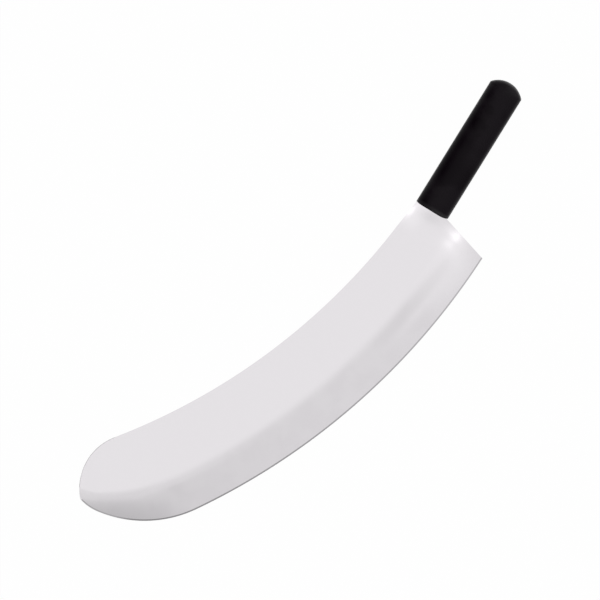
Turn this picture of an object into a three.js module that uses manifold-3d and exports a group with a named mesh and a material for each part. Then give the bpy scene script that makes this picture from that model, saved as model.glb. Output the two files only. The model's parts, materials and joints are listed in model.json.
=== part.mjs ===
// Curved chopping knife: a ground sheet-steel blade with a black plastic handle moulded round its tang.
// Sizes are in millimetres. The knife is drawn flat first: +X runs from the blade to the butt of the
// handle, +Y points to the spine, z = 0 is the middle of the sheet and x = 0 is the blade's shoulder.
// The finished knife is then laid on its side, as it rests on a worktop, with the middle of its
// footprint at the origin.
import * as THREE from 'three';
import { ConvexHull } from 'three/addons/math/ConvexHull.js';
import { mergeVertices } from 'three/addons/utils/BufferGeometryUtils.js';
import Module from 'manifold-3d';

// Blade outline: a heel line, three tangent arcs along the edge, two along the tip and spine. The nose
// arc leaves the belly NOSE_LEAD degrees below the blade's foremost point, and turns to the tip.
const BLADE_LENGTH = 393.8;
const HEEL_SETBACK = 13.3;
const HEEL_DROP = 62.1;
const EDGE_RADIUS = 635;
const BELLY_RADIUS = 110;
const NOSE_RADIUS = 45;
const NOSE_LEAD = 9;
const NOSE_TURN = 25;
const TIP_RADIUS = 50;
const SPINE_RADIUS = 590;
const SPINE_LOW_X = 29.3;
const SPINE_LOW_Y = 16.6;
const NECK_LENGTH = 30;
const NECK_STEP = 0.4;

// Sheet and grind: a wide soft-shouldered bevel on both sides, and a narrow honed bevel at the edge
const SHEET_THICKNESS = 3;
const EASED_CORNER = 0.35;
const GRIND_WIDTH = 32;
const GRIND_SHOULDER = 5;
const GRIND_RUNOUT = 130;
const GRIND_OVERRUN = 3;
const RUNOUT_POWER = 0.6;
const HONE_WIDTH = 1.3;
const HONE_THICKNESS = 0.7;
const APEX_THICKNESS = 0.12;

// Tang: how deep the handle's plastic covers it, and the holes that the plastic fills
const TANG_SIDE_COVER = 5.4;
const TANG_BUTT_COVER = 23.3;
const TANG_END_DEPTH = 15;
const TANG_HOLE_DIAMETER = 7;
const TANG_HOLE_MARGIN = 24;
const TANG_HOLE_COUNT = 3;

// Handle: a straight oval bar with a rounded butt, and a front that bows out over the blade's sides.
// A squareness of 2 is an ellipse, and more is boxier.
const HANDLE_LENGTH = 135.3;
const HANDLE_DEPTH = 32.8;
const HANDLE_THICKNESS = 23;
const HANDLE_SQUARENESS = 2.7;
const BUTT_DEPTH = 7.7;
const BUTT_ROUNDING = 5;
const FRONT_BOW = 1.4;
const FRONT_FILLET = 2;

// Clearance between the moulding and the steel
const FIT = 0.3;

// Densities in kilograms per cubic millimetre
const STEEL_DENSITY = 7.75e-6;
const PLASTIC_DENSITY = 0.95e-6;

// Fineness of the curved surfaces
const ARC_STEPS = 14;
const GRIND_STEP_TURN = 2;
const SECTION_POINTS = 48;
const BUTT_STEPS = 10;
const FILLET_STEPS = 4;

const wasm = await Module();
wasm.setup();

// Sizes that follow from those above, and how far cutting tools reach past what they cut
const neckDepth = HANDLE_DEPTH - 2 * NECK_STEP;
const handleEnd = FIT + HANDLE_LENGTH;
const tangRootDepth = HANDLE_DEPTH - 2 * TANG_SIDE_COVER;
const tangLength = handleEnd - TANG_BUTT_COVER;
const cutPast = SHEET_THICKNESS;

// Centres of the outline's arcs
const heel = new THREE.Vector2(-HEEL_SETBACK, -HEEL_DROP);
const edgeCentre = new THREE.Vector2(0, heel.y + Math.sqrt(EDGE_RADIUS ** 2 - heel.x ** 2));
const noseLead = THREE.MathUtils.degToRad(NOSE_LEAD);
const noseOffset = BELLY_RADIUS - NOSE_RADIUS;
const noseShift = new THREE.Vector2(noseOffset * Math.cos(noseLead), noseOffset * Math.sin(noseLead));
const bellyX = NOSE_RADIUS - BLADE_LENGTH + noseShift.x;
const bellyY = edgeCentre.y - Math.sqrt((EDGE_RADIUS - BELLY_RADIUS) ** 2 - bellyX ** 2);
const bellyCentre = new THREE.Vector2(bellyX, bellyY);
const noseCentre = bellyCentre.clone().sub(noseShift);
const spineCentre = new THREE.Vector2(SPINE_LOW_X, SPINE_LOW_Y + SPINE_RADIUS);
const neckRise = Math.sqrt(SPINE_RADIUS ** 2 - (NECK_LENGTH + spineCentre.x) ** 2);
const neck = new THREE.Vector2(-NECK_LENGTH, spineCentre.y - neckRise);

// The arcs of the edge in order from the tip to the heel, with the angles at which each starts and ends
const heelAngle = angleFrom(edgeCentre, heel);
const bellyAngle = angleFrom(edgeCentre, bellyCentre);
const noseAngle = noseLead - Math.PI;
const tipAngle = noseAngle - THREE.MathUtils.degToRad(NOSE_TURN);
const edgeArcs = [
  { centre: noseCentre, radius: NOSE_RADIUS, from: tipAngle, to: noseAngle },
  { centre: bellyCentre, radius: BELLY_RADIUS, from: noseAngle, to: bellyAngle },
  { centre: edgeCentre, radius: EDGE_RADIUS, from: bellyAngle, to: heelAngle },
];

// The tip's round leaves the end of the edge and runs into the hollow spine
const tip = edgeStation(0).point;
const tipCentre = circlesMeet(spineCentre, SPINE_RADIUS + TIP_RADIUS, tip, TIP_RADIUS);

// Where two circles cross, on the left of the line from the first centre to the second
function circlesMeet(first, firstRadius, second, secondRadius) {
  const apart = second.clone().sub(first);
  const distance = apart.length();
  const along = (firstRadius ** 2 - secondRadius ** 2 + distance ** 2) / (2 * distance);
  const aside = Math.sqrt(firstRadius ** 2 - along ** 2);
  const direction = apart.divideScalar(distance);
  const left = new THREE.Vector2(-direction.y, direction.x);
  return first.clone().addScaledVector(direction, along).addScaledVector(left, aside);
}

function angleFrom(centre, point) {
  return Math.atan2(point.y - centre.y, point.x - centre.x);
}

// Outline of the blade, from the lower end of its shoulder round the heel, edge, tip and spine
function bladeOutline() {
  const outline = new THREE.Shape();
  outline.moveTo(0, -neckDepth / 2);
  outline.lineTo(heel.x, heel.y);
  for (const { centre, radius, from, to } of edgeArcs.toReversed()) {
    outline.absarc(centre.x, centre.y, radius, to, from, true);
  }
  const tipStart = angleFrom(tipCentre, tip);
  const tipEnd = angleFrom(tipCentre, spineCentre);
  outline.absarc(tipCentre.x, tipCentre.y, TIP_RADIUS, tipStart, tipEnd, true);
  const spineStart = angleFrom(spineCentre, tipCentre);
  const spineEnd = angleFrom(spineCentre, neck);
  outline.absarc(spineCentre.x, spineCentre.y, SPINE_RADIUS, spineStart, spineEnd, false);
  outline.lineTo(0, neckDepth / 2);
  return outline;
}

// Outline of the tang, grown all round, from its root inside the blade to its round end
function tangOutline(grow) {
  const rootHalf = tangRootDepth / 2 + grow;
  const endHalf = TANG_END_DEPTH / 2 + grow;
  const outline = new THREE.Shape();
  outline.moveTo(-cutPast, -rootHalf);
  outline.lineTo(-cutPast, rootHalf);
  outline.lineTo(0, rootHalf);
  outline.absarc(tangLength + grow - endHalf, 0, endHalf, Math.PI / 2, -Math.PI / 2, true);
  outline.lineTo(0, -rootHalf);
  return outline;
}

// The holes are spread evenly between the ends of the tang
function tangHoleX(index) {
  const pitch = (tangLength - 2 * TANG_HOLE_MARGIN) / Math.max(TANG_HOLE_COUNT - 1, 1);
  return TANG_HOLE_MARGIN + index * pitch;
}

// Sheet cut to an outline, with its corners eased
function sheetGeometry(outline) {
  const sheet = new THREE.ExtrudeGeometry(outline, {
    depth: SHEET_THICKNESS - 2 * EASED_CORNER,
    curveSegments: ARC_STEPS,
    bevelThickness: EASED_CORNER,
    bevelSize: EASED_CORNER,
    bevelOffset: -EASED_CORNER,
    bevelSegments: 1,
  });
  return sheet.translate(0, 0, EASED_CORNER - SHEET_THICKNESS / 2);
}

// The tang's sheet, with the holes that lock it in the handle
function tangGeometry() {
  const outline = tangOutline(0);
  for (let index = 0; index < TANG_HOLE_COUNT; index += 1) {
    const hole = new THREE.Path();
    hole.absarc(tangHoleX(index), 0, TANG_HOLE_DIAMETER / 2, 0, 2 * Math.PI, false);
    outline.holes.push(hole);
  }
  return sheetGeometry(outline);
}

function arcLength({ radius, from, to }) {
  return radius * (to - from);
}

// A point of the edge with its inward direction, by the length of edge left before the tip
function edgeStation(lengthLeft) {
  let rest = lengthLeft;
  let index = 0;
  while (index < edgeArcs.length - 1 && rest > arcLength(edgeArcs[index])) {
    rest -= arcLength(edgeArcs[index]);
    index += 1;
  }
  const { centre, radius, from } = edgeArcs[index];
  const turn = from + rest / radius;
  const outward = new THREE.Vector2(Math.cos(turn), Math.sin(turn));
  const point = centre.clone().addScaledVector(outward, radius);
  return { point, inward: outward.negate() };
}

// Lengths of edge left before the tip at which the grind is drawn, a few degrees of turn apart
function grindStations() {
  const stepTurn = THREE.MathUtils.degToRad(GRIND_STEP_TURN);
  const lengths = [-GRIND_OVERRUN];
  let start = 0;
  for (const arc of edgeArcs) {
    const steps = Math.ceil((arc.to - arc.from) / stepTurn);
    for (let step = 0; step < steps; step += 1) {
      lengths.push(start + arcLength(arc) * (step / steps));
    }
    start += arcLength(arc);
  }
  return [...lengths, start, start + HEEL_SETBACK + cutPast];
}

// Section of the stone that grinds one side, as distance in from the edge and height off mid-sheet.
// The bevel's share of its full width falls to nothing where the grind runs out past the tip.
function grindSection(lengthLeft) {
  const run = THREE.MathUtils.clamp((lengthLeft + GRIND_OVERRUN) / GRIND_RUNOUT, 0, 1);
  const share = (1 - (1 - run) ** 2) ** RUNOUT_POWER;
  const face = SHEET_THICKNESS / 2;
  const slope = (face - HONE_THICKNESS / 2) / (GRIND_WIDTH - HONE_WIDTH);
  const shoulderDrop = slope * GRIND_SHOULDER;
  const bevelAt = (distance) => HONE_WIDTH + share * (distance - HONE_WIDTH);
  return [
    [-cutPast, APEX_THICKNESS / 2],
    [0, APEX_THICKNESS / 2],
    [HONE_WIDTH, HONE_THICKNESS / 2],
    [bevelAt(GRIND_WIDTH - GRIND_SHOULDER), face - shoulderDrop],
    [bevelAt(GRIND_WIDTH), face - shoulderDrop / 4],
    [bevelAt(GRIND_WIDTH + 2 * GRIND_SHOULDER), face + shoulderDrop / 4],
    [bevelAt(GRIND_WIDTH + 2 * GRIND_SHOULDER), face + cutPast],
    [-cutPast, face + cutPast],
  ];
}

// The stone's sweep along the whole edge, for the upper side (1) or the lower side (-1) of the sheet
function grindGeometry(side) {
  const rings = grindStations().map((lengthLeft) => {
    const { point, inward } = edgeStation(lengthLeft);
    const ring = grindSection(lengthLeft).map(([distance, height]) => {
      const place = point.clone().addScaledVector(inward, distance);
      return new THREE.Vector3(place.x, place.y, side * height);
    });
    return side > 0 ? ring : ring.reverse();
  });
  return loftGeometry(rings, centreOf(rings[0]), centreOf(rings.at(-1)));
}

// Oval section of the handle at x, bowed towards the blade in its middle
function handleRing(x, halfDepth, halfThickness, bow) {
  const ring = [];
  for (let index = 0; index < SECTION_POINTS; index += 1) {
    const turn = (2 * Math.PI * index) / SECTION_POINTS;
    const y = halfDepth * roundedPower(Math.cos(turn), 2 / HANDLE_SQUARENESS);
    const z = halfThickness * roundedPower(Math.sin(turn), 2 / HANDLE_SQUARENESS);
    ring.push(new THREE.Vector3(x - bow * (1 - (y / halfDepth) ** 2), y, z));
  }
  return ring;
}

function roundedPower(value, power) {
  return Math.sign(value) * Math.abs(value) ** power;
}

// The grip's outer form: bowed front with its upper and lower corners rounded, straight bar and butt.
// The butt is an arc from side to side, and its upper and lower corners are rounded too.
function gripGeometry() {
  const halfDepth = HANDLE_DEPTH / 2;
  const halfThickness = HANDLE_THICKNESS / 2;
  const buttRadius = (halfDepth ** 2 + BUTT_DEPTH ** 2) / (2 * BUTT_DEPTH);
  const buttTurn = 2 * Math.atan(BUTT_DEPTH / halfDepth);
  const rings = [];
  for (let step = 0; step <= FILLET_STEPS; step += 1) {
    const turn = (Math.PI / 2) * (step / FILLET_STEPS);
    const drawnIn = FRONT_FILLET * (1 - Math.sin(turn));
    const x = FIT + FRONT_FILLET * (1 - Math.cos(turn));
    rings.push(handleRing(x, halfDepth, halfThickness - drawnIn, FRONT_BOW));
  }
  for (let step = 0; step < BUTT_STEPS; step += 1) {
    const turn = buttTurn * (1 - step / BUTT_STEPS);
    const depthLeft = buttRadius * (1 - Math.cos(turn));
    const rounded = Math.max(1 - depthLeft / BUTT_ROUNDING, 0);
    const thickness = halfThickness * Math.sqrt(1 - rounded ** 2);
    rings.push(handleRing(handleEnd - depthLeft, buttRadius * Math.sin(turn), thickness, 0));
  }
  return loftGeometry(rings, new THREE.Vector3(FIT - FRONT_BOW, 0, 0), new THREE.Vector3(handleEnd, 0, 0));
}

// The slot between the front's lips, for the blade's neck
function neckSlotGeometry() {
  const length = FRONT_BOW + cutPast;
  const slot = new THREE.BoxGeometry(length, HANDLE_DEPTH + 2 * cutPast, SHEET_THICKNESS + 2 * FIT);
  return slot.translate(FIT - length / 2, 0, 0);
}

// The room that the plastic leaves for the tang
function tangPocketGeometry() {
  const height = SHEET_THICKNESS + 2 * FIT;
  const pocket = new THREE.ExtrudeGeometry(tangOutline(FIT), {
    depth: height,
    curveSegments: ARC_STEPS,
    bevelEnabled: false,
  });
  return pocket.translate(0, 0, -height / 2);
}

// A peg of plastic that fills one of the tang's holes
function pegGeometry(index) {
  const height = SHEET_THICKNESS + 2 * cutPast;
  const peg = new THREE.CylinderGeometry(
    TANG_HOLE_DIAMETER / 2 - FIT,
    TANG_HOLE_DIAMETER / 2 - FIT,
    height,
    2 * ARC_STEPS,
  );
  return peg.rotateX(Math.PI / 2).translate(tangHoleX(index), 0, 0);
}

function centreOf(ring) {
  const sum = new THREE.Vector3();
  ring.forEach((point) => sum.add(point));
  return sum.divideScalar(ring.length);
}

// A closed skin over rings with the same number of points, with a fan at each end
function loftGeometry(rings, startPoint, endPoint) {
  const count = rings[0].length;
  const points = [...rings.flat(), startPoint, endPoint];
  const startIndex = rings.length * count;
  const endIndex = startIndex + 1;
  const lastRing = (rings.length - 1) * count;
  const triangles = [];
  for (let index = 0; index < count; index += 1) {
    const next = (index + 1) % count;
    triangles.push(startIndex, next, index);
    triangles.push(endIndex, lastRing + index, lastRing + next);
    for (let base = 0; base < lastRing; base += count) {
      triangles.push(base + index, base + next, base + count + next);
      triangles.push(base + index, base + count + next, base + count + index);
    }
  }
  const geometry = new THREE.BufferGeometry().setFromPoints(points);
  geometry.setIndex(triangles);
  return geometry;
}

function toSolid(geometry) {
  const skin = geometry.clone();
  skin.deleteAttribute('normal');
  skin.deleteAttribute('uv');
  const merged = mergeVertices(skin);
  const vertProperties = new Float32Array(merged.attributes.position.array);
  const triVerts = new Uint32Array(merged.index.array);
  return new wasm.Manifold(new wasm.Mesh({ numProp: 3, vertProperties, triVerts }));
}

function toMesh(name, solid, material) {
  const { vertProperties, triVerts } = solid.getMesh();
  const geometry = new THREE.BufferGeometry();
  geometry.setAttribute('position', new THREE.BufferAttribute(vertProperties, 3));
  geometry.setIndex(new THREE.BufferAttribute(triVerts, 1));
  geometry.computeVertexNormals();
  const mesh = new THREE.Mesh(geometry, material);
  mesh.name = name;
  return mesh;
}

function makeBlade() {
  const blank = toSolid(sheetGeometry(bladeOutline())).add(toSolid(tangGeometry()));
  const ground = blank.subtract(toSolid(grindGeometry(1))).subtract(toSolid(grindGeometry(-1)));
  const steel = new THREE.MeshStandardMaterial({ color: 0xd6d6d8, roughness: 0.32, metalness: 1 });
  return toMesh('blade', ground, steel);
}

function makeHandle() {
  let handle = toSolid(gripGeometry())
    .subtract(toSolid(neckSlotGeometry()))
    .subtract(toSolid(tangPocketGeometry()));
  for (let index = 0; index < TANG_HOLE_COUNT; index += 1) {
    handle = handle.add(toSolid(pegGeometry(index)));
  }
  const plastic = new THREE.MeshStandardMaterial({ color: 0x161616, roughness: 0.5, metalness: 0 });
  return toMesh('handle', handle, plastic);
}

// Volume of a closed mesh, and its centre times that volume
function volumeMoment(geometry) {
  const { position } = geometry.attributes;
  const { array: corners } = geometry.index;
  const moment = new THREE.Vector3();
  let volume = 0;
  for (let index = 0; index < corners.length; index += 3) {
    const [a, b, c] = [0, 1, 2].map((corner) => {
      return new THREE.Vector3().fromBufferAttribute(position, corners[index + corner]);
    });
    const wedge = a.dot(b.clone().cross(c)) / 6;
    volume += wedge;
    moment.addScaledVector(a.add(b).add(c), wedge / 4);
  }
  return { volume, moment };
}

function massCentre(pieces) {
  const total = new THREE.Vector3();
  let mass = 0;
  for (const [mesh, density] of pieces) {
    const { volume, moment } = volumeMoment(mesh.geometry);
    mass += volume * density;
    total.addScaledVector(moment, density);
  }
  return total.divideScalar(mass);
}

// Turns the knife so that the facet of its convex hull under its centre of mass lies on the worktop.
// Of the facets on which it stays put, it comes to lie on the lowest.
function layDown(knife, centre) {
  let lowest = Infinity;
  let down = null;
  for (const face of new ConvexHull().setFromObject(knife).faces) {
    const height = -face.distanceToPoint(centre);
    const foot = centre.clone().addScaledVector(face.normal, height);
    const facet = new THREE.Triangle(...[0, 1, 2].map((index) => face.getEdge(index).head().point));
    if (face.normal.z < 0 && height < lowest && facet.containsPoint(foot)) {
      lowest = height;
      down = face.normal;
    }
  }
  knife.quaternion.setFromUnitVectors(down, new THREE.Vector3(0, 0, -1));
  knife.updateMatrixWorld(true);
  const box = new THREE.Box3().setFromObject(knife, true);
  const middle = box.getCenter(new THREE.Vector3());
  knife.position.set(-middle.x, -middle.y, -box.min.z);
  knife.updateMatrixWorld(true);
}

const blade = makeBlade();
const handle = makeHandle();
const knife = new THREE.Group();
knife.name = 'chopping_knife';
knife.add(blade, handle);
layDown(knife, massCentre([[blade, STEEL_DENSITY], [handle, PLASTIC_DENSITY]]));

export default knife;
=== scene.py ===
import json
import math

import bmesh
import bpy
from mathutils import Matrix, Vector
from mathutils.geometry import intersect_sphere_sphere_2d


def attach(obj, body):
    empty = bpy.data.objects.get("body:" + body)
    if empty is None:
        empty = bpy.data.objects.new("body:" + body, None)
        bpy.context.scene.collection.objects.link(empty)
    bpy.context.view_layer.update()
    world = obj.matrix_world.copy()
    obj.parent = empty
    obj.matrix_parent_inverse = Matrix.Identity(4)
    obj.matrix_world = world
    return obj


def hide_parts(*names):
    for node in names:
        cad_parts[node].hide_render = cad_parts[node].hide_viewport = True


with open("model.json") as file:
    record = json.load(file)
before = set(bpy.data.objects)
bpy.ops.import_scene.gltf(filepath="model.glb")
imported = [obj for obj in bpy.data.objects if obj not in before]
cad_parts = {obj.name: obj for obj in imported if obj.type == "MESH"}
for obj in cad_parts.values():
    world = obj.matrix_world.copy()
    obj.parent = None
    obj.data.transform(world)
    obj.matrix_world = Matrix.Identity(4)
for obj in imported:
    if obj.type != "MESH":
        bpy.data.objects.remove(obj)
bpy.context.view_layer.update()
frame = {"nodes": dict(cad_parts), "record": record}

# How the knife lies
# It rests on its side on a worktop: on the belly of its edge, the flat next to it and the handle's front.
# Its pieces are shaped flat, with +X to the butt, +Y to the spine and the origin in the middle of
# the blade's shoulder, and are then turned and moved to where the frame holds them.
FIT = 0.0003  # room between the handle's plastic and the steel
FRONT_BOW = 0.0014  # how far the handle's front bows out over the blade's sides
upper_side = next(mount for mount in frame["record"]["mounts"] if mount["name"] == "blade_upper_side")
turn = Vector((0, 0, 1)).rotation_difference(Vector(upper_side["axis"])).to_matrix()
flat_points = [turn.inverted() @ vertex.co for vertex in frame["nodes"]["handle"].data.vertices]
handle_low = Vector(map(min, *flat_points))
handle_high = Vector(map(max, *flat_points))
handle_size = handle_high - handle_low
handle_middle = (handle_low + handle_high) / 2
shoulder = turn @ Vector((handle_low.x + FRONT_BOW - FIT, handle_middle.y, handle_middle.z))
lay_down = Matrix.Translation(shoulder) @ turn.to_4x4()

# Blade
# One piece of stainless sheet, cut to a curved outline together with the tang that anchors it in
# the handle. Both sides are ground to a wide bevel that rolls off rounder towards the tip, the edge
# is honed to a narrow second bevel, and the sheet's corners are eased.
BLADE_LENGTH = 0.3938
HEEL_SETBACK = 0.0133
HEEL_DROP = 0.0621
EDGE_RADIUS = 0.635
BELLY_RADIUS = 0.110
NOSE_RADIUS = 0.045
NOSE_LEAD = math.radians(9)
NOSE_TURN = math.radians(25)
TIP_RADIUS = 0.050
SPINE_RADIUS = 0.590
SPINE_LOW_X = 0.0293
SPINE_LOW_Y = 0.0166
NECK_LENGTH = 0.030
NECK_NARROWING = 0.0008  # how much less deep the neck is than the handle
SHEET_THICKNESS = 0.003
EASED_CORNER = 0.00035
TANG_ROOT_DEPTH = 0.022
TANG_END_DEPTH = 0.015
TANG_LENGTH = 0.1123
TANG_HOLE_RADIUS = 0.0035
TANG_HOLES_X = (0.024, 0.05615, 0.0883)
TINY = 1e-6

# Its grind and hone
GRIND_WIDTH = 0.032
GRIND_SHOULDER = 0.005
GRIND_RUNOUT = 0.112  # length of edge over which the bevel narrows
GRIND_OVERRUN = 0.016  # how far past the tip it would be narrowed to nothing
RUNOUT_CURVE = 1.4
RUNOUT_POWER = 0.7
ROLL_START = 0.110  # length of edge left before the tip where the flat bevel starts to turn round
ROLL_FULL = 0.045
TIP_ROUNDNESS = 1.6  # 1 is a flat bevel
TIP_SHALLOWING = 1.4  # how fast the bevel grows shallow as it narrows
HONE_WIDTH = 0.0013
HONE_SHARE = 0.2  # the most of the bevel's width that the hone takes up
HONE_THICKNESS = 0.0007
HONE_CREASE = math.radians(6)
APEX_THICKNESS = 0.00012

# The buffing wheel's marks. Each patch at the heel has a depth, a distance in from the heel, the reach of
# its fall there, and its middle and spread across the blade.
HEEL_BUFFS = (
    (0.00007, 0.0044, 0.0042, -0.0205, 0.0040),
    (0.00030, 0.0044, 0.0042, -0.0285, 0.0100),
    (0.00019, 0.0145, 0.0050, -0.029, 0.009),
    (0.00028, 0.0160, 0.0120, -0.034, 0.015),
)
NECK_BUFF_DEPTH = 0.00023
NECK_BUFF_REACH = 0.0042
NECK_BUFF_X = -0.005
NECK_BUFF_SPREAD = 0.010
HOLLOW_DEPTH = 0.00017
HOLLOW_IN = 0.0215
HOLLOW_REACH = 0.006
HOLLOW_X = -0.085
HOLLOW_SPREAD = 0.040
FRONT_LIFT = 0.00017
FRONT_LIFT_X = -0.006
FRONT_LIFT_REACH = 0.004
FRONT_LIFT_Y = -0.001
FRONT_LIFT_SPREAD = 0.011

# Rows across the blade and steps along it
BEVEL_ROWS = 14
SHOULDER_ROWS = 8
FLAT_ROWS = 30
RUNOUT_STEPS = 8
NOSE_STEPS = 14
BELLY_STEPS = 44
EDGE_STEPS = 150
PAST_HEEL_STEPS = 6
HEEL_OVERRUN = 1.5  # how many times the heel's setback the grind is swept past the heel
TIP_CUTS = 10
TIP_CUT_TURN = math.radians(2.5)
TIP_STEPS = 24
NECK_STEPS = 12
NECK_OVERRUN = 1.3  # how many times the neck's length its outline is drawn
SHORT_RUNG = 0.036  # a row across the flat that is shorter than this is left whole
TANG_END_STEPS = 16
TANG_HOLE_SIDES = 24
EASED_STEPS = 3

face_height = SHEET_THICKNESS / 2
heel = Vector((-HEEL_SETBACK, -HEEL_DROP, 0))
edge_centre = Vector((0, heel.y + math.sqrt(EDGE_RADIUS**2 - heel.x**2), 0))
nose_shift = (BELLY_RADIUS - NOSE_RADIUS) * Vector((math.cos(NOSE_LEAD), math.sin(NOSE_LEAD), 0))
belly_x = NOSE_RADIUS - BLADE_LENGTH + nose_shift.x
belly_y = edge_centre.y - math.sqrt((EDGE_RADIUS - BELLY_RADIUS) ** 2 - belly_x**2)
belly_centre = Vector((belly_x, belly_y, 0))
nose_centre = belly_centre - nose_shift
nose_turn = NOSE_LEAD - math.pi
tip_turn = nose_turn - NOSE_TURN
tip = nose_centre + NOSE_RADIUS * Vector((math.cos(tip_turn), math.sin(tip_turn), 0))
spine_centre = Vector((SPINE_LOW_X, SPINE_LOW_Y + SPINE_RADIUS, 0))
tip_centres = intersect_sphere_sphere_2d(
    spine_centre.xy, SPINE_RADIUS + TIP_RADIUS, tip.xy, TIP_RADIUS
)
tip_centre = max(tip_centres, key=lambda centre: centre.x).to_3d()
neck_depth = handle_size.y - NECK_NARROWING
neck_rise = math.sqrt(SPINE_RADIUS**2 - (NECK_LENGTH + SPINE_LOW_X) ** 2)
neck = Vector((-NECK_LENGTH, spine_centre.y - neck_rise, 0))


def turn_about(centre, point):
    """Direction of a point from a centre, as an angle that falls from 0 to a full turn below it."""
    return -(math.atan2(centre.y - point.y, point.x - centre.x) % (2 * math.pi))


heel_turn = turn_about(edge_centre, heel)
belly_turn = turn_about(edge_centre, belly_centre)
edge_arcs = (
    (nose_centre, NOSE_RADIUS, tip_turn, nose_turn, NOSE_STEPS),
    (belly_centre, BELLY_RADIUS, nose_turn, belly_turn, BELLY_STEPS),
    (edge_centre, EDGE_RADIUS, belly_turn, heel_turn, EDGE_STEPS),
)


def edge_place(point):
    """Length of edge left before the tip, distance in from the edge, and the way inwards, at a point."""
    passed = 0
    for centre, radius, start, end, steps in edge_arcs:
        swept = turn_about(centre, point)
        left = passed + radius * (swept - start)
        inward = (centre - point).xy.to_3d()
        if swept < end:
            break
        passed += radius * (end - start)
    return left, radius - inward.length, inward.normalized()


def grind_share(left):
    """Share of its full width that the bevel keeps, which falls to nothing past the tip."""
    run = min(max((left + GRIND_OVERRUN) / GRIND_RUNOUT, 0), 1)
    return (1 - (1 - run) ** RUNOUT_CURVE) ** RUNOUT_POWER


def ground_height(distance):
    """Height of the ground side over mid-sheet, by the distance in from the edge."""
    slope = (face_height - HONE_THICKNESS / 2) / (GRIND_WIDTH - HONE_WIDTH)
    if distance <= HONE_WIDTH:
        return (APEX_THICKNESS + (HONE_THICKNESS - APEX_THICKNESS) * distance / HONE_WIDTH) / 2
    if distance <= GRIND_WIDTH - GRIND_SHOULDER:
        return HONE_THICKNESS / 2 + slope * (distance - HONE_WIDTH)
    left_to_flat = (GRIND_WIDTH + GRIND_SHOULDER - distance) / (2 * GRIND_SHOULDER)
    return face_height - slope * GRIND_SHOULDER * left_to_flat**2


def eased_share(share):
    """A share from 0 to 1 that starts and ends gently."""
    share = min(max(share, 0), 1)
    return share**2 * (3 - 2 * share)


def rolled_height(distance, left):
    """Height over mid-sheet where the flat bevel turns into an evenly rounded one towards the tip."""
    to_flat = 1 - (distance - HONE_WIDTH) / (GRIND_WIDTH + GRIND_SHOULDER - HONE_WIDTH)
    depth_share = eased_share(grind_share(left)) ** TIP_SHALLOWING
    ground_away = (face_height - HONE_THICKNESS / 2) * depth_share
    round_height = face_height - ground_away * max(to_flat, 0) ** TIP_ROUNDNESS
    roll = eased_share((ROLL_START - left) / (ROLL_START - ROLL_FULL))
    return ground_height(distance) * (1 - roll) + round_height * roll


def drawn_in(distance, left):
    """Distance in from the edge once the bevel is narrowed towards the tip, where the hone stays wide."""
    full = GRIND_WIDTH + GRIND_SHOULDER
    narrowed = full * grind_share(left)
    hone = min(HONE_WIDTH, narrowed * HONE_SHARE)
    if distance <= HONE_WIDTH:
        return hone * distance / HONE_WIDTH
    return hone + (narrowed - hone) * (distance - HONE_WIDTH) / (full - HONE_WIDTH)


def edges_where(body, test):
    """Edges of a mesh whose two ends both pass a test of their place."""
    return [edge for edge in body.edges if all(test(vertex.co) for vertex in edge.verts)]


def cut_off(body, place, outward):
    """Cuts off what lies outward of a place."""
    whole = body.verts[:] + body.edges[:] + body.faces[:]
    bmesh.ops.bisect_plane(body, geom=whole, plane_co=place, plane_no=outward, clear_outer=True)


# The grind: its section is swept round the nose and belly and along the edge, and drawn in at the tip
steel = bmesh.new()
bevel_start = GRIND_WIDTH - GRIND_SHOULDER
rows = [0, HONE_WIDTH]
rows += [HONE_WIDTH + (bevel_start - HONE_WIDTH) * row / BEVEL_ROWS for row in range(1, BEVEL_ROWS + 1)]
rows += [bevel_start + 2 * GRIND_SHOULDER * row / SHOULDER_ROWS for row in range(1, SHOULDER_ROWS + 1)]
foremost = nose_centre - Vector((NOSE_RADIUS, 0, 0))
points = [steel.verts.new(foremost + Vector((row, 0, ground_height(row)))) for row in rows]
section = points + [steel.edges.new(pair) for pair in zip(points, points[1:])]
overrun_turn = GRIND_OVERRUN / NOSE_RADIUS
to_start = Matrix.Rotation(tip_turn + math.pi - overrun_turn, 3, "Z")
bmesh.ops.rotate(steel, verts=points, cent=nose_centre, matrix=to_start)
past_heel = HEEL_OVERRUN * HEEL_SETBACK
sweeps = [(centre, end - start, steps) for centre, radius, start, end, steps in edge_arcs]
sweeps.insert(0, (nose_centre, overrun_turn, RUNOUT_STEPS))
sweeps.append((edge_centre, past_heel / EDGE_RADIUS, PAST_HEEL_STEPS))
for centre, angle, steps in sweeps:
    sweep = bmesh.ops.spin(steel, geom=section, cent=centre, axis=(0, 0, 1), angle=angle, steps=steps)
    section = sweep["geom_last"]
for vertex in steel.verts:
    left, distance, inward = edge_place(vertex.co)
    if distance > HONE_WIDTH - TINY:
        vertex.co.z = rolled_height(distance, left)
    vertex.co -= inward * (distance - drawn_in(distance, left))

# The tip's round is cut across the grind, facet by facet
tip_start = turn_about(tip_centre, tip)
for cut in range(TIP_CUTS):
    cut_turn = tip_start - cut * TIP_CUT_TURN
    outward = Vector((math.cos(cut_turn), math.sin(cut_turn), 0))
    cut_off(steel, tip_centre + TIP_RADIUS * outward, outward)

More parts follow.
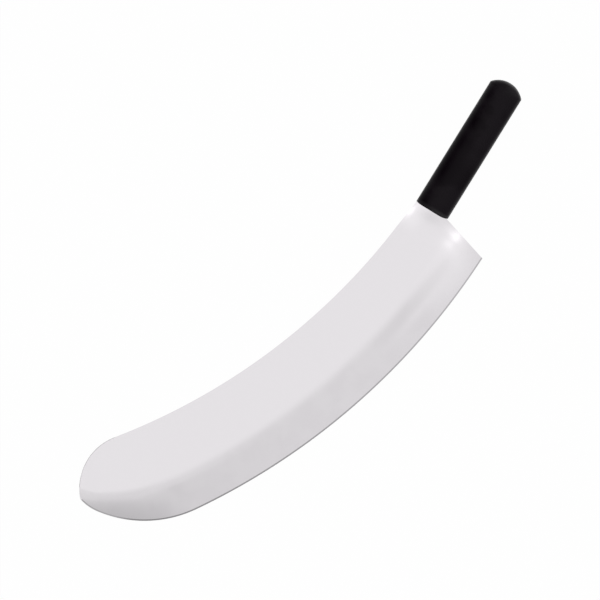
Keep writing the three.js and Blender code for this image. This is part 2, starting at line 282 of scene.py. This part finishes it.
# The flat of the sheet: it spans from the grind to the outline of the tip, spine and neck
flat_row = edges_where(steel, lambda place: place.z > face_height - TINY / 100)
row_start = min((vertex.co for edge in flat_row for vertex in edge.verts), key=lambda place: place.x)
row_turn = turn_about(tip_centre, row_start)
tip_end = turn_about(tip_centre, spine_centre)
tip_step = (tip_end - row_turn) / (TIP_STEPS + 1)
outline_turn = row_turn + tip_step
outline_start = tip_centre + TIP_RADIUS * Vector((math.cos(outline_turn), math.sin(outline_turn), 0))
outline_end = [steel.verts.new(outline_start + Vector((0, 0, face_height)))]
spine_turn = turn_about(spine_centre, neck) - turn_about(spine_centre, tip_centre)
spine_steps = len(flat_row) - TIP_STEPS - NECK_STEPS
shoulder_corner = Vector((0, neck_depth / 2, 0))
neck_step = NECK_OVERRUN * (shoulder_corner - neck) / NECK_STEPS
for centre, angle, steps, shift in (
    (tip_centre, tip_end - outline_turn, TIP_STEPS, Vector()),
    (spine_centre, spine_turn, spine_steps, Vector()),
    (neck, 0, NECK_STEPS, neck_step),
):
    sweep = bmesh.ops.spin(
        steel, geom=outline_end, cent=centre, axis=(0, 0, 1), dvec=shift, angle=angle, steps=steps
    )
    outline_end = sweep["geom_last"]
outline = [edge for edge in steel.edges if edge.is_wire]
flat_faces = bmesh.ops.bridge_loops(steel, edges=flat_row + outline)["faces"]
rungs = {edge for face in flat_faces for edge in face.edges} - set(flat_row) - set(outline)
long_rungs = [edge for edge in steel.edges if edge in rungs and edge.calc_length() > SHORT_RUNG]
bmesh.ops.subdivide_edges(steel, edges=long_rungs, cuts=FLAT_ROWS - 1, use_grid_fill=True)

# The shoulder and the heel are cut off square
heel_line = heel - Vector((0, -neck_depth / 2, 0))
heel_out = Vector((-heel_line.y, heel_line.x, 0)).normalized()
cut_off(steel, (0, 0, 0), (1, 0, 0))
cut_off(steel, heel, heel_out)


def fill_tang(body, root, end_depth, end_x, hole_radius):
    """Fills one side of a tang, from the edges at its root to its round end, round its holes."""
    corners = sorted({vertex for edge in root for vertex in edge.verts}, key=lambda vertex: vertex.co.y)
    height = corners[0].co.z
    round_middle = Vector((end_x - end_depth / 2, 0, height))
    start = body.verts.new(round_middle - Vector((0, end_depth / 2, 0)))
    end = bmesh.ops.spin(
        body, geom=[start], cent=round_middle, axis=(0, 0, 1), angle=math.pi, steps=TANG_END_STEPS
    )["geom_last"][0]
    body.edges.new((corners[0], start))
    body.edges.new((end, corners[-1]))
    for hole_x in TANG_HOLES_X:
        middle = Matrix.Translation((hole_x, 0, height))
        bmesh.ops.create_circle(body, segments=TANG_HOLE_SIDES, radius=hole_radius, matrix=middle)
    border = [edge for edge in body.edges if edge.is_wire or edge in root]
    bmesh.ops.triangle_fill(body, edges=border, use_beauty=True)


def wall_down(body, rim):
    """Carries a rim straight down to the middle of the sheet."""
    wall = bmesh.ops.extrude_edge_only(body, edges=rim)["geom"]
    for vertex in wall:
        if isinstance(vertex, bmesh.types.BMVert):
            vertex.co.z = 0


def close_halves(body):
    """Mirrors the upper half of a piece to the lower, and turns every face outwards."""
    whole = body.verts[:] + body.edges[:] + body.faces[:]
    bmesh.ops.mirror(body, geom=whole, matrix=Matrix.Identity(4), merge_dist=TINY, axis="Z")
    in_order = sorted(body.verts, key=lambda vertex: vertex.co[:])  # so that every run joins the same ones
    bmesh.ops.remove_doubles(body, verts=in_order, dist=10 * TINY)
    bmesh.ops.recalc_face_normals(body, faces=body.faces[:])


def shade_smooth(body, crease):
    """Smooth shading that breaks where two faces meet at more than the crease angle."""
    for face in body.faces:
        face.smooth = True
    for edge in body.edges:
        edge.smooth = edge.calc_face_angle(0) < crease


def lay_piece(name, body, material):
    """Lays a finished piece where the frame holds it, as an object that rides on the knife."""
    body.transform(lay_down)
    mesh = bpy.data.meshes.new(name)
    body.to_mesh(mesh)
    body.free()
    mesh.materials.append(material)
    piece = bpy.data.objects.new(name, mesh)
    bpy.context.scene.collection.objects.link(piece)
    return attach(piece, "root")


# The tang goes on from the shoulder in the same sheet
for side in (-1, 1):
    shoulder_line = edges_where(steel, lambda place: abs(place.x) < TINY)
    ends = [vertex for vertex in steel.verts if any(edge in shoulder_line for edge in vertex.link_edges)]
    split = (0, side * TANG_ROOT_DEPTH / 2, 0)
    bmesh.ops.bisect_plane(steel, geom=shoulder_line + ends, plane_co=split, plane_no=(0, 1, 0))
root_half = TANG_ROOT_DEPTH / 2 + TINY
tang_root = edges_where(steel, lambda place: abs(place.x) < TINY and abs(place.y) < root_half)
fill_tang(steel, tang_root, TANG_END_DEPTH, TANG_LENGTH, TANG_HOLE_RADIUS)
rim = [edge for edge in steel.edges if edge.is_boundary]
wall_down(steel, rim)
eased = [
    edge
    for edge in rim
    if all(vertex.co.z > face_height - TINY and vertex.co.x < TINY for vertex in edge.verts)
]
bmesh.ops.bevel(
    steel,
    geom=eased,
    offset=EASED_CORNER,
    affect="EDGES",
    segments=EASED_STEPS,
    profile=0.5,
    material=-1,
    clamp_overlap=False,
)
close_halves(steel)


def fading(offset, spread):
    """A share that is 1 in a middle and fades to nothing on both sides of it."""
    return math.exp(-((offset / spread) ** 2))


def falling(offset, reach):
    """A share that falls gently from 1 to 0 past a place."""
    return (1 - math.tanh(offset / reach)) / 2


def worn_away(place):
    """What the buffing wheel has taken off one side of the sheet at a place, less what it has left over."""
    to_heel = (heel - place).dot(heel_out)
    to_spine = SPINE_RADIUS - (place - spine_centre).xy.length
    left, distance, inward = edge_place(place)
    worn = 0
    for depth, middle_in, reach, middle_y, spread in HEEL_BUFFS:
        worn += depth * falling(to_heel - middle_in, reach) * fading(place.y - middle_y, spread)
    beside_neck = fading(place.x - NECK_BUFF_X, NECK_BUFF_SPREAD)
    worn += NECK_BUFF_DEPTH * fading(to_spine, NECK_BUFF_REACH) * beside_neck
    beside_hollow = fading(place.x - HOLLOW_X, HOLLOW_SPREAD)
    worn += HOLLOW_DEPTH * fading(distance - HOLLOW_IN, HOLLOW_REACH) * beside_hollow
    beside_front = fading(place.y - FRONT_LIFT_Y, FRONT_LIFT_SPREAD)
    worn -= FRONT_LIFT * falling(FRONT_LIFT_X - place.x, FRONT_LIFT_REACH) * beside_front
    return worn


# The buffing wheel has rounded the sheet a little at the heel and the neck, hollowed the bevel before the
# heel and left a slight rise in front of the handle
for vertex in [vertex for vertex in steel.verts if vertex.co.x < TINY]:
    vertex.co.z -= worn_away(vertex.co) * vertex.co.z / face_height
shade_smooth(steel, HONE_CREASE)

# Its grind lines follow the edge: a map of the length along the edge and the distance in from it
grind_map = steel.loops.layers.uv.new("grind")
for face in steel.faces:
    for loop in face.loops:
        left, distance, inward = edge_place(loop.vert.co)
        loop[grind_map].uv = (left, distance / max(grind_share(left), TINY))


class Socket:
    """An output of a node, for use in sums: each sum adds a Math node to the same node tree."""

    def __init__(self, output):
        self.output = output

    def math(self, operation, first, second):
        tree = self.output.id_data
        return add_node(tree, "ShaderNodeMath", {"operation": operation}, {0: first, 1: second})

    def __add__(self, other):
        return self.math("ADD", self, other)

    def __rsub__(self, other):
        return self.math("SUBTRACT", other, self)

    def __mul__(self, other):
        return self.math("MULTIPLY", self, other)

    __radd__ = __add__
    __rmul__ = __mul__


def add_node(tree, kind, settings, inputs, output=0):
    """Adds a node, makes its settings, gives its inputs values or links, and returns one of its outputs."""
    node = tree.nodes.new(kind)
    for name, value in settings.items():
        if name == "stops":
            for extra in value[2:]:
                node.color_ramp.elements.new(0.5)
            for stop, (position, level) in zip(node.color_ramp.elements, value):
                stop.position = position
                stop.color = (level, level, level, 1)
        else:
            setattr(node, name, value)
    for name, value in inputs.items():
        if isinstance(value, Socket):
            tree.links.new(value.output, node.inputs[name])
        else:
            node.inputs[name].default_value = value
    return Socket(node.outputs[output]) if node.outputs else None


def ramp(tree, value, low, high):
    """Rises smoothly from 0 to 1 as a value goes from low to high."""
    ends = {"Value": value, "From Min": low, "From Max": high}
    return add_node(tree, "ShaderNodeMapRange", {"interpolation_type": "SMOOTHSTEP"}, ends)


def blend(tree, share, first, second):
    """Goes from a first colour to a second as a share goes from 0 to 1."""
    return add_node(tree, "ShaderNodeMix", {"data_type": "RGBA"}, {0: share, 6: first, 7: second}, output=2)


def new_finish(name):
    """An empty material for one finish."""
    finish = bpy.data.materials.new(name)
    finish.use_nodes = True
    finish.node_tree.nodes.clear()
    return finish


# Satin steel, with fine grind lines across the edge and faint blotches on the bevel. Its colour is made
# lighter on the bevel before the heel and by the spine at the neck, as a painted highlight. Ranges are
# lengths along the edge and distances in from it.
LINE_DARK = (0.760, 0.737, 0.760, 1)
LINE_LIGHT = (0.776, 0.753, 0.776, 1)
BLOTCH_DARK = (0.750, 0.726, 0.750, 1)
# colour of the painted highlight before the heel and at the neck
PAINTED_HIGHLIGHT_TONE = (0.825, 0.801, 0.825, 1)
LINES_A_METRE = (1400, 30, 0)
BLOTCHES_A_METRE = 38
BLOTCH_SHIFT = (3.4, 1.8, 0)
BLOTCH_CONTRAST = (0.35, 0.65)
BLOTCH_TOP = (0.036, 0.029)
HEEL_HIGHLIGHT_START = (0.380, 0.430)
HEEL_HIGHLIGHT_END = (0.475, 0.440)
HEEL_HIGHLIGHT_LOW = (-0.010, 0.013)
HEEL_HIGHLIGHT_TOP = (0.040, 0.028)
NECK_HIGHLIGHT_START = (0.440, 0.458)
NECK_HIGHLIGHT_LOW = (0.060, 0.072)
NECK_HIGHLIGHT_STRENGTH = 0.8
STEEL_ROUGHNESS = 0.06
LINE_ROUGHNESS = 0.015
BLOTCH_ROUGHNESS = 0.01
LINE_STRENGTH = 0.1
LINE_DEPTH = 0.00001

satin_steel = new_finish("satin_steel")
tree = satin_steel.node_tree
place = add_node(tree, "ShaderNodeUVMap", {"uv_map": "grind"}, {})
along = add_node(tree, "ShaderNodeSeparateXYZ", {}, {0: place}, output="X")
inwards = add_node(tree, "ShaderNodeSeparateXYZ", {}, {0: place}, output="Y")
# painted highlight: the steel's colour is lightened on the bevel before the heel and by the spine at the
# neck
heel_painted_highlight = ramp(tree, along, *HEEL_HIGHLIGHT_START) * ramp(tree, along, *HEEL_HIGHLIGHT_END)
heel_painted_highlight = heel_painted_highlight * ramp(tree, inwards, *HEEL_HIGHLIGHT_LOW) * ramp(tree, inwards, *HEEL_HIGHLIGHT_TOP)
neck_painted_highlight = NECK_HIGHLIGHT_STRENGTH * ramp(tree, along, *NECK_HIGHLIGHT_START) * ramp(tree, inwards, *NECK_HIGHLIGHT_LOW)
stretched = add_node(tree, "ShaderNodeVectorMath", {"operation": "MULTIPLY"}, {0: place, 1: LINES_A_METRE})
grind_lines = add_node(
    tree,
    "ShaderNodeTexNoise",
    {"noise_dimensions": "2D"},
    {"Vector": stretched, "Scale": 1.0, "Detail": 3.0},
)
blotch_place = add_node(tree, "ShaderNodeVectorMath", {"operation": "ADD"}, {0: place, 1: BLOTCH_SHIFT})
mottle = add_node(
    tree,
    "ShaderNodeTexNoise",
    {"noise_dimensions": "2D"},
    {"Vector": blotch_place, "Scale": BLOTCHES_A_METRE, "Detail": 2.0},
)
blotches = ramp(tree, mottle, *BLOTCH_CONTRAST) * ramp(tree, inwards, *BLOTCH_TOP)
roughness = STEEL_ROUGHNESS + LINE_ROUGHNESS * grind_lines + BLOTCH_ROUGHNESS * mottle
tone = blend(tree, grind_lines, LINE_DARK, LINE_LIGHT)
tone = blend(tree, blotches, tone, BLOTCH_DARK)
tone = blend(tree, heel_painted_highlight + neck_painted_highlight, tone, PAINTED_HIGHLIGHT_TONE)
bump = add_node(
    tree,
    "ShaderNodeBump",
    {},
    {"Strength": LINE_STRENGTH, "Distance": LINE_DEPTH, "Height": grind_lines},
)
steel_shader = add_node(
    tree,
    "ShaderNodeBsdfPrincipled",
    {},
    {"Base Color": tone, "Metallic": 1.0, "Roughness": roughness, "Normal": bump},
)
add_node(tree, "ShaderNodeOutputMaterial", {}, {"Surface": steel_shader})

blade = lay_piece("ground_blade", steel, satin_steel)
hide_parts("blade")

# Handle
# Black plastic moulded straight round the tang: an oval bar with a rounded butt, whose front bows out
# over the blade and whose plastic fills the tang's holes as locking pegs. The two halves of the mould
# leave a faint line along its sides.
SECTION_SQUARENESS = 2.7
BUTT_DEPTH = 0.0077
BUTT_CORNER = 0.0015
BUTT_ROUNDING = 0.005
FRONT_FILLET = 0.002
LIP_BOW = 0.0016
LIP_LEAN = 0.0005
LIP_FULLNESS = 6
MOUTH_FULLNESS = 4
PARTING_WIDTH = 0.0003
PARTING_RISE = 0.00006
PLASTIC_CREASE = math.radians(40)
SECTION_STEPS = 48
FILLET_STEPS = 6
BAR_STEPS = 12
CORNER_STEPS = 5
BUTT_STEPS = 20
MOUTH_STEPS = 24

half_depth = handle_size.y / 2
half_thickness = handle_size.z / 2
butt_x = FIT + handle_size.x - FRONT_BOW
butt_radius = (half_depth**2 + BUTT_DEPTH**2) / (2 * BUTT_DEPTH)
corner_y = half_depth - BUTT_CORNER
corner_reach = math.sqrt((butt_radius - BUTT_CORNER) ** 2 - corner_y**2)
corner_x = butt_x - butt_radius + corner_reach
butt_turn = math.atan2(corner_y, corner_reach)


def butt_thickness(x):
    """Half the handle's thickness near its butt, whose upper and lower corners are rounded."""
    rounded = max(1 - (butt_x - x) / BUTT_ROUNDING, 0)
    return half_thickness * math.sqrt(1 - rounded**2)


# Stations along the handle: place, half depth, half thickness and bow of the section there
stations = []
for step in range(FILLET_STEPS + 1):
    quarter = (math.pi / 2) * step / FILLET_STEPS
    thinned = FRONT_FILLET * (1 - math.sin(quarter))
    x = FIT + FRONT_FILLET * (1 - math.cos(quarter))
    stations.append((x, half_depth, half_thickness - thinned, LIP_BOW))
bar_start = FIT + FRONT_FILLET
for step in range(1, BAR_STEPS):
    share = step / BAR_STEPS
    x = bar_start + (corner_x - bar_start) * share
    stations.append((x, half_depth, half_thickness, LIP_BOW * (1 - share)))
for step in range(CORNER_STEPS):
    turn_left = math.pi / 2 + (butt_turn - math.pi / 2) * step / CORNER_STEPS
    x = corner_x + BUTT_CORNER * math.cos(turn_left)
    stations.append((x, corner_y + BUTT_CORNER * math.sin(turn_left), butt_thickness(x), 0))
for step in range(BUTT_STEPS + 1):
    turn_left = butt_turn * (1 - step / BUTT_STEPS)
    x = butt_x - butt_radius * (1 - math.cos(turn_left))
    stations.append((x, butt_radius * math.sin(turn_left), butt_thickness(x), 0))

# One half of the grip: a half tube with a ring for each station, and then each ring takes its size
plastic = bmesh.new()
start = plastic.verts.new((0, 1, 0))
bmesh.ops.spin(plastic, geom=[start], cent=(0, 0, 0), axis=(1, 0, 0), angle=math.pi, steps=SECTION_STEPS)
ring = plastic.edges[:]
for station in stations[1:]:
    grown = bmesh.ops.extrude_edge_only(plastic, edges=ring)["geom"]
    ring = [part for part in grown if isinstance(part, bmesh.types.BMEdge)]
    ring_points = [part for part in grown if isinstance(part, bmesh.types.BMVert)]
    bmesh.ops.translate(plastic, verts=ring_points, vec=(1, 0, 0))
for vertex in plastic.verts:
    x, depth, thickness, bow = stations[round(vertex.co.x)]
    side = math.copysign(abs(vertex.co.y) ** (2 / SECTION_SQUARENESS), vertex.co.y)
    height = max(vertex.co.z, 0) ** (2 / SECTION_SQUARENESS)
    bowed = bow * (1 - side**LIP_FULLNESS + LIP_LEAN / LIP_BOW * side**3)
    vertex.co = (x - bowed, depth * side, thickness * height)
bmesh.ops.remove_doubles(plastic, verts=plastic.verts[:], dist=TINY)

# The mouth of the tang's pocket, bowed as the front is, and the pocket with its pegs
mouth_half = TANG_ROOT_DEPTH / 2 + FIT
mouth_height = face_height + FIT
front_ring = [
    edge
    for edge in plastic.edges
    if edge.is_boundary and max(vertex.co.z for vertex in edge.verts) > TINY
]
mouth_corners = ((mouth_half, 0), (mouth_half, mouth_height), (-mouth_half, mouth_height), (-mouth_half, 0))
mouth_points = [plastic.verts.new((FIT, y, z)) for y, z in mouth_corners]
mouth = [plastic.edges.new(pair) for pair in zip(mouth_points, mouth_points[1:])]
ceiling = bmesh.ops.subdivide_edges(plastic, edges=mouth[1:2], cuts=MOUTH_STEPS - 1)["geom_inner"]
for part in ceiling:
    if isinstance(part, bmesh.types.BMVert):
        part.co.x -= LIP_BOW * (1 - (part.co.y / mouth_half) ** MOUTH_FULLNESS)
mouth = [edge for edge in plastic.edges if edge.is_wire]
mouth_top = [edge for edge in mouth if all(vertex.co.z > mouth_height - TINY for vertex in edge.verts)]
bmesh.ops.bridge_loops(plastic, edges=front_ring + mouth)
fill_tang(plastic, mouth_top, TANG_END_DEPTH + 2 * FIT, TANG_LENGTH + FIT, TANG_HOLE_RADIUS - FIT)
pocket_rim = [
    edge
    for edge in plastic.edges
    if edge.is_boundary and all(abs(vertex.co.z - mouth_height) < TINY for vertex in edge.verts)
]
wall_down(plastic, pocket_rim)
close_halves(plastic)

# The parting line: a fine ridge along both sides and round the butt
parting = edges_where(
    plastic, lambda place: abs(place.z) < TINY and (abs(place.y) > corner_y or place.x > corner_x - TINY)
)
ridge = bmesh.ops.bevel(
    plastic,
    geom=parting,
    offset=PARTING_WIDTH / 2,
    affect="EDGES",
    segments=2,
    profile=0.5,
    material=-1,
    clamp_overlap=True,
)
plastic.normal_update()
for vertex in ridge["verts"]:
    if abs(vertex.co.z) < TINY:
        vertex.co += PARTING_RISE * vertex.normal
bmesh.ops.dissolve_degenerate(plastic, dist=TINY, edges=plastic.edges[:])
shade_smooth(plastic, PLASTIC_CREASE)

# A map of the length and the depth of the handle, for where it is scuffed and polished
grip_map = plastic.loops.layers.uv.new("grip")
for face in plastic.faces:
    for loop in face.loops:
        loop[grip_map].uv = loop.vert.co.xy

# Black plastic with a fine grain: smudged, polished dark by the hand in the middle of its upper side, and
# dulled where the forefinger lies. Its colour is painted lighter towards the edge's side as painted light,
# and lighter still at its two ends as painted highlights, mostly on the edge's side. Ranges are places
# along the handle and across it.
PLASTIC_DARK = (0.0033, 0.0014, 0.0033, 1)
PLASTIC_LIGHT = (0.0108, 0.0080, 0.0108, 1)
# colour of the painted highlights at the handle's two ends
PAINTED_END_HIGHLIGHT = (0.036, 0.033, 0.036, 1)
GRAINS_A_METRE = 1800
SMUDGES_A_METRE = 55
SMUDGE_SHIFT = (11.9, 6.3, 0)
SMUDGE_CONTRAST = (0.3, 0.7)
POLISH_START = (0.015, 0.045)
POLISH_END = (0.095, 0.065)
POLISH_DARKENING = 0.7
DULL_START = (0.020, 0.034)
DULL_END = (0.062, 0.046)
DULL_DARKENING = 0.5
# painted light: the handle's colour is lighter towards the edge's side
EDGE_SIDE = (0.005, -0.007)
EDGE_SIDE_PAINTED_LIGHT = 0.75
# painted highlights on the front's fillet and on the butt's rim
FRONT_HIGHLIGHT = (0.0038, 0.0006)
FRONT_HIGHLIGHT_EVEN = 0.35  # the share that is as strong on the spine's side
BUTT_HIGHLIGHT = (0.122, 0.136)
BUTT_HIGHLIGHT_EVEN = 0.2
BUTT_HIGHLIGHT_STRENGTH = 0.4
PLASTIC_ROUGHNESS = 0.30
SMUDGE_ROUGHNESS = 0.12
PLASTIC_SHINE = 0.08
GRAIN_STRENGTH = 0.2
GRAIN_DEPTH = 0.00005

moulded_plastic = new_finish("moulded_plastic")
tree = moulded_plastic.node_tree
solid_place = add_node(tree, "ShaderNodeTexCoord", {}, {}, output="Object")
grain = add_node(
    tree, "ShaderNodeTexNoise", {}, {"Vector": solid_place, "Scale": GRAINS_A_METRE, "Detail": 2.0}
)
place = add_node(tree, "ShaderNodeUVMap", {"uv_map": "grip"}, {})
along = add_node(tree, "ShaderNodeSeparateXYZ", {}, {0: place}, output="X")
across = add_node(tree, "ShaderNodeSeparateXYZ", {}, {0: place}, output="Y")
smudge_place = add_node(tree, "ShaderNodeVectorMath", {"operation": "ADD"}, {0: place, 1: SMUDGE_SHIFT})
smudge = add_node(
    tree,
    "ShaderNodeTexNoise",
    {"noise_dimensions": "2D"},
    {"Vector": smudge_place, "Scale": SMUDGES_A_METRE, "Detail": 3.0},
)
polished = ramp(tree, along, *POLISH_START) * ramp(tree, along, *POLISH_END)
dulled = ramp(tree, along, *DULL_START) * ramp(tree, along, *DULL_END)
to_edge_side = ramp(tree, across, *EDGE_SIDE)
smudged = ramp(tree, smudge, *SMUDGE_CONTRAST) * (1 - POLISH_DARKENING * polished)
# the smudges, plus painted light on the edge's side
lightness = (smudged + EDGE_SIDE_PAINTED_LIGHT * to_edge_side) * (1 - DULL_DARKENING * dulled)
# painted highlights at the front and the butt, mostly on the edge's side
front_painted_highlight = ramp(tree, along, *FRONT_HIGHLIGHT) * (FRONT_HIGHLIGHT_EVEN + (1 - FRONT_HIGHLIGHT_EVEN) * to_edge_side)
butt_painted_highlight = ramp(tree, along, *BUTT_HIGHLIGHT) * (BUTT_HIGHLIGHT_EVEN + (1 - BUTT_HIGHLIGHT_EVEN) * to_edge_side)
roughness = PLASTIC_ROUGHNESS + SMUDGE_ROUGHNESS * smudge
tone = blend(tree, lightness, PLASTIC_DARK, PLASTIC_LIGHT)
tone = blend(tree, front_painted_highlight + BUTT_HIGHLIGHT_STRENGTH * butt_painted_highlight, tone, PAINTED_END_HIGHLIGHT)
bump = add_node(
    tree, "ShaderNodeBump", {}, {"Strength": GRAIN_STRENGTH, "Distance": GRAIN_DEPTH, "Height": grain}
)
plastic_shader = add_node(
    tree,
    "ShaderNodeBsdfPrincipled",
    {},
    {"Base Color": tone, "Roughness": roughness, "Specular IOR Level": PLASTIC_SHINE, "Normal": bump},
)
add_node(tree, "ShaderNodeOutputMaterial", {}, {"Surface": plastic_shader})

handle = lay_piece("moulded_handle", plastic, moulded_plastic)
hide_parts("handle")

# Floor
# A plain white worktop under the knife, which keeps its soft shadow. It lies a hair lower than the frame's
# floor, because the grind is fuller near the tip here than in the solids.
FLOOR_SIZE = 8
FLOOR_HEIGHT = -0.00014
FLOOR_GLOW = 0.985
FLOOR_WHITE = (0.9, 0.9, 0.9, 1)
ground = bmesh.new()
lowered = Matrix.Translation((0, 0, FLOOR_HEIGHT))
bmesh.ops.create_grid(ground, x_segments=1, y_segments=1, size=FLOOR_SIZE / 2, matrix=lowered)
floor = bpy.data.objects.new("floor", bpy.data.meshes.new("floor"))
ground.to_mesh(floor.data)
ground.free()
bpy.context.scene.collection.objects.link(floor)
white_top = new_finish("white_top")
tree = white_top.node_tree
seen = add_node(tree, "ShaderNodeLightPath", {}, {}, output="Is Camera Ray")
mirrored = add_node(tree, "ShaderNodeLightPath", {}, {}, output="Is Glossy Ray")
through = add_node(tree, "ShaderNodeLightPath", {}, {}, output="Is Transmission Ray")
matt = add_node(tree, "ShaderNodeBsdfDiffuse", {}, {"Color": FLOOR_WHITE})
glow = add_node(tree, "ShaderNodeEmission", {}, {"Color": (1, 1, 1, 1), "Strength": 1.0})
bright = FLOOR_GLOW * (seen + mirrored + through)
look = add_node(tree, "ShaderNodeMixShader", {}, {0: bright, 1: matt, 2: glow})
add_node(tree, "ShaderNodeOutputMaterial", {}, {"Surface": look})
floor.data.materials.append(white_top)

# Camera
# It looks straight down on the blade, as if from very far off, with the handle up to the right.
FRAME_WIDTH = 0.546
CAMERA_HEIGHT = 2
FRAME_MIDDLE = Vector((-0.1328, 0.0591, 0))
KNIFE_TILT = math.radians(58.26)
camera = bpy.data.objects.new("camera", bpy.data.cameras.new("camera"))
bpy.context.scene.collection.objects.link(camera)
camera.data.type = "ORTHO"
camera.data.ortho_scale = FRAME_WIDTH
camera.matrix_world = (
    lay_down
    @ Matrix.Translation(FRAME_MIDDLE + Vector((0, 0, CAMERA_HEIGHT)))
    @ Matrix.Rotation(-KNIFE_TILT, 4, "Z")
)
bpy.context.scene.camera = camera

# Light
# A wide soft sky over the worktop. It is even overhead, dims beyond the blade's tip, has a bright strip on
# the handle's side, and a dim gap between two panels on the spine's side. Below the worktop all is white.
LEAN_AXIS = math.radians(200)
GAP_TILT = math.radians(42)
GAP_DEPTH = 0.95
GAP_OUTER = math.radians(36)
GAP_INNER = math.radians(10)
SKYLINE = (-0.02, 0)
PLAIN_WHITE = (1, 1, 1, 1)
SKY_LEVELS = (
    (-1.0, 0.75),
    (-0.75, 1.0),
    (-0.5, 0.7),
    (-0.25, 1.0),
    (-0.1, 1.5),
    (-0.055, 1.5),
    (-0.026, 1.07),
    (0.004, 1.007),
    (0.038, 0.875),
    (0.053, 0.93),
    (0.066, 0.757),
    (0.1, 0.64),
    (0.2, 0.57),
    (0.34, 0.36),
    (0.45, 0.31),
    (0.6, 0.31),
    (0.8, 0.5),
)
lean_axis = turn @ Vector((math.cos(LEAN_AXIS), math.sin(LEAN_AXIS), 0))
gap_axis = turn @ Vector((0, math.sin(GAP_TILT), math.cos(GAP_TILT)))
sky = bpy.data.worlds.new("studio")
bpy.context.scene.world = sky
sky.use_nodes = True
tree = sky.node_tree
tree.nodes.clear()
direction = add_node(tree, "ShaderNodeTexCoord", {}, {}, output="Generated")
lean = add_node(
    tree, "ShaderNodeVectorMath", {"operation": "DOT_PRODUCT"}, {0: direction, 1: lean_axis}, output="Value"
)
stops = [((lean_at + 1) / 2, level) for lean_at, level in SKY_LEVELS]
level = add_node(tree, "ShaderNodeValToRGB", {"stops": stops}, {0: 0.5 * lean + 0.5})
to_gap = add_node(
    tree, "ShaderNodeVectorMath", {"operation": "DOT_PRODUCT"}, {0: direction, 1: gap_axis}, output="Value"
)
gap = ramp(tree, to_gap, math.cos(GAP_OUTER), math.cos(GAP_INNER))
upwards = add_node(tree, "ShaderNodeSeparateXYZ", {}, {0: direction}, output="Z")
above = ramp(tree, upwards, *SKYLINE)
surround = blend(tree, above, PLAIN_WHITE, level)
studio = add_node(tree, "ShaderNodeBackground", {}, {"Color": surround, "Strength": 1 - GAP_DEPTH * gap})
add_node(tree, "ShaderNodeOutputWorld", {}, {"Surface": studio})

bpy.context.scene.view_settings.view_transform = "Standard"
